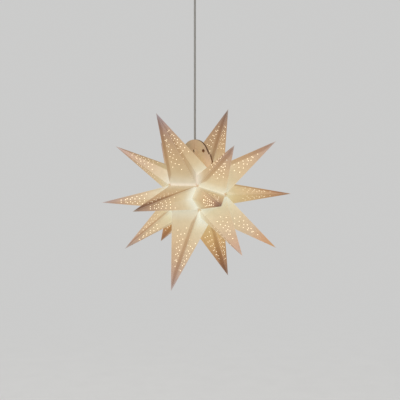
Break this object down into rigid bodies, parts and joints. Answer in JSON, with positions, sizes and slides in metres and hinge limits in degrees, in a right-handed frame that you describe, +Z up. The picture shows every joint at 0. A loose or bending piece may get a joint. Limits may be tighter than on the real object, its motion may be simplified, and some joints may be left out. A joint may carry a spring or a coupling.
{
  "type": "paper star lantern",
  "caption": "Folded and pin-pricked paper star of long tapering spikes round a small globe bulb, hung by a straight cord from a ceiling cup.",
  "frame": {"origin": "middle of the ceiling base's top face, against the ceiling", "axes": "+Z up out of the ceiling; X along the line of the two ceiling screws and of the star's own axis; the star hangs below, 2 degrees out of plumb"},
  "size_m": [0.4292, 0.5985, 0.9011],
  "materials": {
    "star_paper": "matt, translucent",
    "end_leaf_card": "matt",
    "fastener_brass": "dull",
    "lampholder_plastic": "satin",
    "insert_ceramic": "matt",
    "contact_brass": "bright",
    "screw_steel": "zinc plated",
    "bulb_glass": "opal",
    "cord_sheath": "satin",
    "ceiling_plastic": "satin",
    "terminal_plastic": "matt"
  },
  "bodies": {
    "root": {"bulb": "bulb_glass", "ceiling_base": "ceiling_plastic", "ceiling_cup": "ceiling_plastic", "centre_contact": "contact_brass", "clamp_screw": "screw_steel", "contact_insert": "insert_ceramic", "cord": "cord_sheath", "cord_grip": "ceiling_plastic", "end_leaf_far": "end_leaf_card", "end_leaf_near": "end_leaf_card", "fastener_left": "fastener_brass", "fastener_right": "fastener_brass", "grip_nut": "ceiling_plastic", "lampholder_body": "lampholder_plastic", "lampholder_cap": "lampholder_plastic", "ring_spike_back_1": "star_paper", "ring_spike_back_2": "star_paper", "ring_spike_back_3": "star_paper", "ring_spike_back_4": "star_paper", "ring_spike_back_5": "star_paper", "ring_spike_back_6": "star_paper", "ring_spike_front_1": "star_paper", "ring_spike_front_2": "star_paper", "ring_spike_front_3": "star_paper", "ring_spike_front_4": "star_paper", "ring_spike_front_5": "star_paper", "ring_spike_front_6": "star_paper", "terminal_block": "terminal_plastic", "threaded_shell": "contact_brass", "wide_spike_1": "star_paper", "wide_spike_2": "star_paper", "wide_spike_3": "star_paper", "wide_spike_4": "star_paper", "wide_spike_5": "star_paper", "wide_spike_6": "star_paper"}
  },
  "joints": []
}
